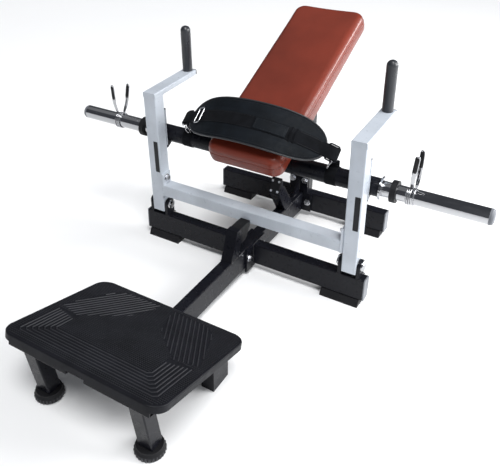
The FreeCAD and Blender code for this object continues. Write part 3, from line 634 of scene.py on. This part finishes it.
def belt_strap():
    """Webbing down the belt's middle, looped round the rings."""
    main = strap_end(-1)[::-1] + belt_run(-243, 243, STRAP_LIFT, 90) + strap_end(1)
    points, faces = sweep(main, flat_section(1.8, STRAP_WIDE, 0.8), up=Vector((0, 1, 0)))
    strap = add_piece("belt_webbing", points, faces, belt_frame, strap_weave, "root", "webbing")


def belt_patch():
    """Plain sewn patch on the webbing, and two keepers that the webbing's end runs through."""
    points, faces = sweep(belt_run(PATCH_START, PATCH_END, PATCH_LIFT, 30), flat_section(40, 2.0, 0.9))
    add_piece("belt_patch", points, faces, belt_frame, leather, "root", "belt_leather")
    keepers = []
    for x in (143, 158):
        path = [Vector((x, BELT_MIDDLE + 25.5 * math.sin(turn),
                        belt_height(x) + 0.4 + 3.0 * math.cos(turn) ** 3))
                for turn in (math.pi * (step / 16 - 0.5) for step in range(17))]
        keepers.append(sweep(path, flat_section(8, 2.0, 0.9)))
    points, faces = joined(keepers)
    add_piece("belt_keepers", points, faces, belt_frame, strap_weave, "root", "webbing")


def belt_stitching():
    """Stitches along the webbing's edges, round the patch and inside the belt's bound edge."""
    lines = []
    for aside in (-20, 20):
        for start, end in ((-236, 14), (170, 236)):
            lines.append(belt_run(start, end, STRAP_LIFT + THREAD_LIFT, 24, aside))
    first, last = PATCH_START + 6, PATCH_END - 6
    for x in (first, last):
        lines.append([belt_run(x, x, PATCH_LIFT + THREAD_LIFT, 1, aside)[0] for aside in (-16, 16)])
    for aside in (-16, 16):
        lines.append(belt_run(first, last, PATCH_LIFT + THREAD_LIFT, 10, aside))
    for front in (True, False):
        line = []
        for index in range(-34, 35):
            x = index * 6.7
            reach = belt_edge(x, front) - 9.0
            puff = belt_puff(x) * math.sqrt(1 - (reach / belt_edge(x, front)) ** 6)
            y = BELT_MIDDLE + (-reach if front else reach)
            line.append(Vector((x, y, belt_height(x) - BELT_CORE + puff + 0.3)))
        lines.append(line)
    stitches(lines, "belt_stitching", belt_frame, "root")


def snap_hook(middle, outward, above, depth):
    """Swivel eye on the ring's front bar, its collar, and the hook's loop with a gate."""
    eye = middle + outward * 8 - depth * RING_Y - above * 3.0
    down = (-above - depth * 0.35).normalized()
    across = down.cross(outward).normalized()
    collar = [eye + down * reach for reach in (6.0, 7.0, 11.0, 12.0)]
    collar_radius = (2.2, 3.1, 3.1, 2.2)
    loop_middle = eye + down * 21.5
    loop = [loop_middle + down * a + across * b for a, b in rounded_outline(10.0, 6.2, 5.8, 2.5)]
    gate = [loop_middle + across * 3.6 + down * reach for reach in (-6, -2, 3, 6.5)]
    ring = arc(eye, 5.2, 0, 345, 23, depth, above)
    return [sweep(ring, circle(1.5, 10), closed=True, up=outward),
            sweep(collar, lambda index: circle(collar_radius[index], 14), up=outward),
            sweep(loop, circle(1.7, 10), closed=True, up=outward),
            sweep(gate, flat_section(1.6, 3.0, 0.6), up=outward)]


def belt_hardware():
    """Ring at each end of the belt with a snap hook on it, and the slider on the webbing."""
    rings, hooks = [], []
    depth = Vector((0, 1, 0))
    for sign in (-1, 1):
        outward, above = end_directions(sign)
        middle = link_bar(sign, 0)
        path = [middle + outward * a + depth * b for a, b in rounded_outline(RING_X, RING_Y, 6.0, 3.0)]
        rings.append(sweep(path, circle(RING_WIRE, 12), closed=True, up=above))
        hooks += snap_hook(middle, outward, above, depth)
    points, faces = joined(rings)
    ring = add_piece("belt_rings", points, faces, belt_frame, black_paint, "root", "black_frame")
    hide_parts("belt_links")

    outward = end_directions(-1)[0]
    reach = 204.0
    middle = Vector((-reach, BELT_MIDDLE, belt_height(reach) - BELT_CORE + belt_puff(reach) + 6.4))
    path = [middle + outward * a + depth * b for a, b in rounded_outline(15.0, 29.0, 6.0, 3.0)]
    points, faces = sweep(path, circle(2.5, 12), closed=True, up=Vector((-0.5, 0, 0.87)))
    add_piece("belt_slider", points, faces, belt_frame, chrome, "root", "chrome")
    points, faces = joined(hooks)
    add_piece("belt_snap_hooks", points, faces, belt_frame, chrome, "root", "chrome")


def anchor_straps():
    """Webbing wrapped round the hip bar, its two ends sewn together into a tail that stands up."""
    width, wrap, place_x = 36.0, 31.2, 272
    tail = (34, 40, 48, 55)
    toward, upward = Vector((0, 1, 0)), Vector((0, 0, 1))
    seams = []
    for side, sign in SIDES:
        axis = Vector((sign * place_x, BAR_Y, BAR_Z))
        front, rear = axis + toward * 3.6, axis + toward * 5.6
        path = [rear + upward * height for height in reversed(tail)]
        path += arc(axis, wrap, 78, -258, 48, toward, upward)
        path += [front + upward * height for height in tail]
        points, faces = sweep(path, flat_section(1.6, width, 0.7), up=Vector((1, 0, 0)))
        strap = add_piece(f"belt_anchor_{side}", points, faces, lever, strap_weave, "lever", "webbing")
        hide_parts("belt_anchors")
        for height in (38, 44, 50):
            seams.append([axis + toward * 2.5 + upward * height + Vector((x, 0, 0)) for x in (-15, 15)])
    stitches(seams, "anchor_stitching", lever, "lever")


# ---------------------------------------------------------------- spring collars
# Each collar's side and direction, where its coil starts along the bar, and how many degrees the coil's
# handle tips outward.
COLLARS = (("right", 1, 510.0, 5), ("left", -1, 574.0, -10))
COIL_WIDE, CLAMP_WIDE, COIL_GAP = 20.0, 6.0, 1
COIL_RADIUS = 27.7                # middle of the wire from the sleeve's axis
HANDLE_SPREAD = 10                # degrees between a handle and straight up, seen along the bar
# Width of a collar's handle plate at each distance from the sleeve's axis.
COLLAR_PLATE = {33: 9.0, 46: 12.0, 60: 13.0, 80: 13.5, 88: 15.6, 120: 16.0, 142: 15.6, 147: 13.0, 149: 8.0}


def handle_point(foot, tilt, side, reach):
    """Point on a collar handle, which leans out above the coil and then stands up straight."""
    aside = 5.2 + 13.8 * min(1.0, (reach - 30) / 40) + 0.035 * max(0.0, reach - 70)
    upright = reach * math.cos(math.radians(HANDLE_SPREAD))
    return foot + Vector((upright * math.sin(tilt), side * aside, upright * math.cos(tilt)))


def collar_turns(heading, start, wide, sign, side, turns):
    """Path of the wire's turns on the sleeve, which end under the handle."""
    inset = 2.3 if turns > 1 else wide / 2 - 0.5
    low, high = inset, wide - inset
    top = math.atan2(heading.z, heading.y)
    whole = math.copysign(2 * math.pi * turns - math.radians(14), side)
    steps = 40 * turns
    path = []
    for index in range(steps + 1):
        share = index / steps
        angle = top - whole * (1 - share)
        path.append(Vector((sign * (start + (high + (low - high) * share)),
                            BAR_Y + COIL_RADIUS * math.cos(angle), BAR_Z + COIL_RADIUS * math.sin(angle))))
    return path


def collar_grip(foot, tilt, side):
    """Moulded grip over a handle's end, with finger ribs."""
    centres, sections = [], []
    steps = 24
    for index in range(steps + 1):
        rounding = math.sqrt(max(0.05, 1 - abs(2 * index / steps - 1) ** 8))
        rib = 0.5 * math.cos(index * math.pi / 1.5) if 3 < index < steps - 3 else 0
        thick = (8 + rib) * rounding
        centres.append(handle_point(foot, tilt, side, 90 + 56 * index / steps))
        sections.append(flat_section(12.6 * rounding, thick, 0.32 * thick))
    return sweep(centres, lambda index: sections[index], up=Vector((0, 1, 0)))


def collar_half(name, part, sign, start, wide, side, tip, turns):
    """Turns and flat handle in one piece of wire, and the grip on the handle."""
    body = f"collar_{name}" if part == "coil" else f"collar_{name}_{part}"
    swing, tilt = math.radians(-side * HANDLE_SPREAD), math.radians(sign * tip)
    heading = Vector((math.sin(tilt), -math.sin(swing) * math.cos(tilt), math.cos(swing) * math.cos(tilt)))
    foot = Vector((sign * (start + wide / 2), BAR_Y, BAR_Z))
    path = collar_turns(heading, start, wide, sign, side, turns)
    coil = sweep(path, flat_section(4.2, 3.9, 1.4), up=Vector((1, 0, 0)))
    shoulder = path[-1]
    stem = [shoulder, shoulder + (foot + heading * 30 - shoulder) * 0.5]
    stem += [handle_point(foot, tilt, side, reach) for reach in COLLAR_PLATE]
    widths = [4.0, 4.6, *COLLAR_PLATE.values()]
    plate = sweep(stem, lambda index: flat_section(2.6, widths[index], 1.0), up=Vector((1, 0, 0)))
    wire = add_piece(f"collar_{name}_{part}_wire", *joined([coil, plate]), lever, chrome, body, "chrome")
    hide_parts(f"collar_{name}_{part}")
    grip = add_piece(f"collar_{name}_{part}_handle", *collar_grip(foot, tilt, side), lever,
                     black_plastic, body, "plastic_black")
    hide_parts(f"collar_{name}_{part}_grip")


def spring_collars():
    """Sprung wire collars: three turns and a handle in one piece, and a last turn that clamps."""
    for name, sign, place, tip in COLLARS:
        collar_half(name, "coil", sign, place, COIL_WIDE, -sign, tip, 3)
        collar_half(name, "clamp", sign, place + COIL_WIDE + COIL_GAP, CLAMP_WIDE, sign, 0, 1)


# ---------------------------------------------------------------- foot platform
# Places on the foot plate: x from the middle, and s forward from its rear edge.
PLATE_HALF_X, PLATE_HALF_S, PLATE_CORNER = 253.0, 203.0, 38.0     # limits of the tread
PLATE_MIDDLE = 210
ROW_PITCH, ROW_COUNT, FIRST_ROW = 7, 59, 8
SLANTED = [(18, 20), (140, 24), (178, 56), (237, 213), (166, 231), (84, 160), (56, 131)]
SLANTED_PITCH = 12.5
FRAME_RIBS, FRAME_PITCH = 7, 11.0
FRAME_X, FRAME_S, FRAME_TOP = 225, 385, 233     # outermost nested frame: half width, front and upper ends
FRAME_MARGIN = 6                                # plain strip between the frames and the rows
FRAME_DEPTH = FRAME_PITCH * (FRAME_RIBS - 1) + FRAME_MARGIN
SHOE_X, SHOE_Y, SHOE_RADIUS = 175, -820, 39.2
SHOE_TEETH = 26


def in_slanted(x, s):
    """Whether a point lies in the field of slanted ribs on the positive side, which is a polygon."""
    hit = False
    for (ax, ay), (bx, by) in zip(SLANTED, SLANTED[1:] + SLANTED[:1]):
        if (ay > s) != (by > s) and x < (bx - ax) * (s - ay) / (by - ay) + ax:
            hit = not hit
    return hit


def in_frames(x, s):
    """Whether a point lies in the band that the nested frames take up."""
    outer = abs(x) <= FRAME_X + FRAME_MARGIN and FRAME_TOP - 7 <= s <= FRAME_S + FRAME_MARGIN
    return outer and not (abs(x) < FRAME_X - FRAME_DEPTH and s < FRAME_S - FRAME_DEPTH)


def on_plate(x, s):
    dx = max(0.0, abs(x) - (PLATE_HALF_X - PLATE_CORNER))
    ds = max(0.0, abs(s - PLATE_MIDDLE) - (PLATE_HALF_S - PLATE_CORNER))
    return math.hypot(dx, ds) <= PLATE_CORNER


def in_rows(x, s):
    return on_plate(x, s) and not in_slanted(abs(x), s) and not in_frames(x, s)


def stretches(spots, keep):
    """First and last of each unbroken run of sampled spots that are kept, if it is long enough."""
    found, run = [], []
    shortest = 6
    for spot in [*spots, None]:
        if spot and keep(*spot):
            run.append(spot)
            continue
        if len(run) >= shortest:
            found.append((run[0], run[-1]))
        run = []
    return found


def tread_rib(line):
    """One raised rib along a line of places on the plate."""
    profile = [(-1.9, -0.3), (-0.9, 1.7), (0.9, 1.7), (1.9, -0.3)]
    return sweep([Vector((x, -s, 0)) for x, s in line], profile)


def tread():
    """Raised ribs on the foot plate: rows across, two slanted fields and nested frames in front."""
    rows, ribs = [], []
    for row in range(ROW_COUNT):
        s = FIRST_ROW + ROW_PITCH * row
        spots = [(x, s) for x in range(-256, 257, 2)]
        rows += [tread_rib(line) for line in stretches(spots, in_rows)]
    slope = Vector((75, 142)).normalized()
    across = Vector((slope.y, -slope.x))
    for sign in (-1, 1):
        for row in range(-6, 20):
            foot = Vector((18, 28)) + across * (SLANTED_PITCH * row)
            spots = [tuple(foot + slope * reach) for reach in range(-80, 320, 3)]
            ribs += [tread_rib([(sign * x, s) for x, s in line]) for line in stretches(spots, in_slanted)]
    for row in range(FRAME_RIBS):
        x, s, top = FRAME_X - FRAME_PITCH * row, FRAME_S - FRAME_PITCH * row, FRAME_TOP + 3.0 * row
        ribs.append(tread_rib([(-x, top), (-x, s - 9), (9 - x, s), (x - 9, s), (x, s - 9), (x, top)]))
    # Rows and slanted ribs get lighter copies of the plate's rubber, a painted highlight on the raised ribs.
    for name, group, finish in (("platform_rows", rows, row_rubber_painted_highlight), ("platform_tread", ribs, rib_rubber_painted_highlight)):
        points, faces = joined(group)
        add_piece(name, points, faces, plate_frame, finish, "root", "plate_rubber", smooth=False)


def shoe_ribs():
    """Serrations round the moulded shoes of the platform's front legs."""
    teeth = []
    tooth_radius = (1.2, 3.0, 3.0, 1.2)
    for sign in (-1, 1):
        for number in range(SHOE_TEETH):
            turn = 2 * math.pi * number / SHOE_TEETH
            out = Vector((math.cos(turn), math.sin(turn), 0))
            foot = Vector((sign * SHOE_X, SHOE_Y, 0)) + out * SHOE_RADIUS
            path = [foot + Vector((0, 0, height)) for height in (3.5, 4.8, 13.5, 14.8)]
            teeth.append(sweep(path, lambda index: circle(tooth_radius[index], 8), up=out))
    points, faces = joined(teeth)
    # The teeth take the lighter rib rubber rather than the shoe's own black rubber: painted highlight on the
    # teeth.
    add_piece("shoe_serrations", points, faces, machine, rib_rubber_painted_highlight, "root", "rubber_black")


# ---------------------------------------------------------------- labels and weld beads


def labels():
    """Plain dark film strips on the front faces of the uprights."""
    strips = []
    for sign in (-1, 1):
        outline = rounded_outline(9.0, 62, 2.0, 4.0)
        middle = Vector((sign * UPRIGHT_X + 11, UPRIGHT_FRONT - 0.25, 206))
        front, back = ([middle + Vector((a, lift, b)) for a, b in outline] for lift in (-0.15, 0.15))
        count = len(outline)
        faces = grid_faces(2, count) + [tuple(range(count)), tuple(range(count, 2 * count))[::-1]]
        strips.append((front + back, faces))
    points, faces = joined(strips)
    add_piece("upright_labels", points, faces, lever, label_film, "lever", "plastic_black", smooth=False)


def button_heads():
    """Low round covers over the cross tube's bolts on the outer faces of the uprights."""
    heads = []
    head_radius = (7.0, 7.0, 5.2, 2.2)
    for sign in (-1, 1):
        for z in (60, 118):
            path = [Vector((sign * (UPRIGHT_X + 25 + out), -5, z)) for out in (-0.2, 0.9, 2.0, 2.6)]
            heads.append(sweep(path, lambda index: circle(head_radius[index], 20)))
    points, faces = joined(heads)
    add_piece("upright_button_heads", points, faces, lever, zinc, "lever", "zinc")


def beads(runs, name, place, body, material, slot, radius):
    """Weld beads along runs of corners: rounded, with the ripples that a torch leaves."""
    parts = []
    for corners in runs:
        closed = len(corners) > 2 and corners[0] == corners[-1]
        path = []
        for start, end in zip(corners, corners[1:]):
            steps = max(2, round((end - start).length / 1.7))
            path += [start + (end - start) * step / steps for step in range(steps)]
        if not closed:
            path.append(corners[-1])

        def ripple(index):
            jitter = 0.1 * noise.noise(path[index] * 0.4)
            return circle(radius * (1 + 0.13 * math.sin(index * 2.1) + jitter), 8)

        parts.append(sweep(path, ripple, closed=closed, up=Vector((0.31, 0.57, 0.76))))
    points, faces = joined(parts)
    add_piece(name, points, faces, place, material, body, slot)


def lever_welds():
    """Beads round the uprights' tops, the cross tube's ends and the bar's brackets."""
    runs = []
    for sign in (-1, 1):
        x = sign * UPRIGHT_X
        runs.append([Vector((x + a, b, 433)) for a, b in ((24, -22), (24, 25), (-24, 25), (-24, -22))])
        corners = ((-23, -22), (23, -22), (23, 22), (-23, 22), (-23, -22))
        runs.append([Vector((sign * 345, a - 5, 70.5 + b)) for a, b in corners])
        for edge in (-25, 25):
            runs.append([Vector((x + edge, 26, z)) for z in (236, 376)])
    beads(runs, "lever_welds", lever, "lever", silver_paint, "silver_lever", 1.7)


def frame_welds():
    """Beads at the pivot ears, the two posts on the spine, the gusset and the front beams' flanges."""
    runs = []
    for x in (-415.5, -340.5, 340.5, 415.5):
        for y in (-22, 22):
            runs.append([Vector((x + a, y, BEAM_TOP)) for a in (-5, 5)])
    for x in (-20, 20):
        for ends in ((-160, -111), (244, 304)):
            runs.append([Vector((x, y, BEAM_TOP)) for y in ends])
    for x in (-4, 4):
        runs.append([Vector((x, y, z)) for y, z in ((347, BEAM_TOP), (399, BEAM_TOP), (399, 160))])
    for x in (-28, 28):
        runs.append([Vector((x, y, z)) for y, z in ((-20, 25), (-20, 103), (20, 103), (20, 25))])
    beads(runs, "frame_welds", machine, "root", weld_paint, "black_frame", 2.0)


# ---------------------------------------------------------------- floor, light and camera


def studio_floor():
    """Wide pale floor just under the machine's feet."""
    reach, below = 30.0, -0.0005
    mesh = bpy.data.meshes.new("studio_floor")
    corners = [(a * reach, b * reach, below) for a, b in ((-1, -1), (1, -1), (1, 1), (-1, 1))]
    mesh.from_pydata(corners, [], [(0, 1, 2, 3)])
    floor = put_in_scene("studio_floor", mesh)
    pale = Finish("studio_floor", (0.9, 0.905, 0.91), 0.8, specular=0.1)
    pale.vary_colour(pale.noise(0.6, 3), 0.01)
    mesh.materials.append(pale.material)


def studio_world():
    """Surroundings that run from dark on the left to pale on the right, which the chrome reflects."""
    world = bpy.data.worlds.new("studio")
    bpy.context.scene.world = world
    world.use_nodes = True
    nodes, links = world.node_tree.nodes, world.node_tree.links
    place = nodes.new("ShaderNodeTexCoord")
    toward = nodes.new("ShaderNodeVectorMath")
    toward.operation = "DOT_PRODUCT"
    toward.inputs[1].default_value = (0.93, -0.2, 0.12)
    links.new(place.outputs["Generated"], toward.inputs[0])
    shade = nodes.new("ShaderNodeValToRGB")
    links.new(toward.outputs["Value"], shade.inputs["Fac"])
    dark, light = shade.color_ramp.elements
    dark.position, dark.color = 0.1, (0.11, 0.115, 0.13, 1)
    light.position, light.color = 0.85, (0.95, 0.97, 1, 1)
    links.new(shade.outputs["Color"], nodes["Background"].inputs["Color"])
    nodes["Background"].inputs["Strength"].default_value = 0.75


def facing(direction):
    return direction.to_track_quat("-Z", "Y").to_euler()


def studio_lights():
    """A broad light overhead, and square soft boxes, each with its place and the place it faces."""
    overhead = bpy.data.lights.new("overhead", "SUN")
    overhead.energy = 2.45
    overhead.angle = math.radians(28)
    put_in_scene("overhead", overhead).rotation_euler = facing(Vector((-0.25, 0.3, -1)))
    for name, spot, aim, size, power in (
            ("right", (2.7, 0.9, 1.75), (0, 0.1, 0.4), 1.5, 85),
            ("rim", (2.3, 2.6, 1.2), (0, 0.2, 0.4), 1.1, 60),
            ("ceiling", (-1.5, 0.6, 2.8), (-1.5, 0.6001, 0), 3.1, 6),
            ("front", (-1.4, -3.2, 1.6), (0, 0, 0.3), 1.6, 4)):
        lamp = bpy.data.lights.new(name, "AREA")
        lamp.shape = "SQUARE"
        lamp.size = size
        lamp.energy = power
        thing = put_in_scene(name, lamp)
        thing.location = spot
        thing.rotation_euler = facing(Vector(aim) - Vector(spot))


def studio_camera():
    """Camera at the machine's three-quarter front view."""
    azimuth, elevation, roll = (math.radians(angle) for angle in (32.07, 27.86, 0.53))
    forward = Vector((-math.sin(azimuth) * math.cos(elevation), math.cos(azimuth) * math.cos(elevation),
                      -math.sin(elevation)))
    level = Vector((math.cos(azimuth), math.sin(azimuth), 0))
    steep = forward.cross(level)
    right = level * math.cos(roll) + steep * math.sin(roll)
    down = steep * math.cos(roll) - level * math.sin(roll)
    lens = bpy.data.cameras.new("camera")
    lens.sensor_width = 36
    lens.lens = 46.15
    lens.shift_x = 0.064
    lens.shift_y = -0.130
    lens.clip_end = 100
    camera = put_in_scene("camera", lens)
    turned = Matrix((right, -down, -forward)).transposed().to_4x4()
    camera.matrix_world = Matrix.Translation(Vector((0.9126, -1.6618 + pivot.y, 1.3893))) @ turned
    bpy.context.scene.camera = camera


dress_cad_nodes()
pad()
belt()
belt_rim()
belt_strap()
belt_patch()
belt_stitching()
belt_hardware()
anchor_straps()
spring_collars()
tread()
shoe_ribs()
labels()
button_heads()
lever_welds()
frame_welds()
studio_floor()
studio_world()
studio_lights()
studio_camera()
bpy.context.scene.view_settings.view_transform = "Standard"
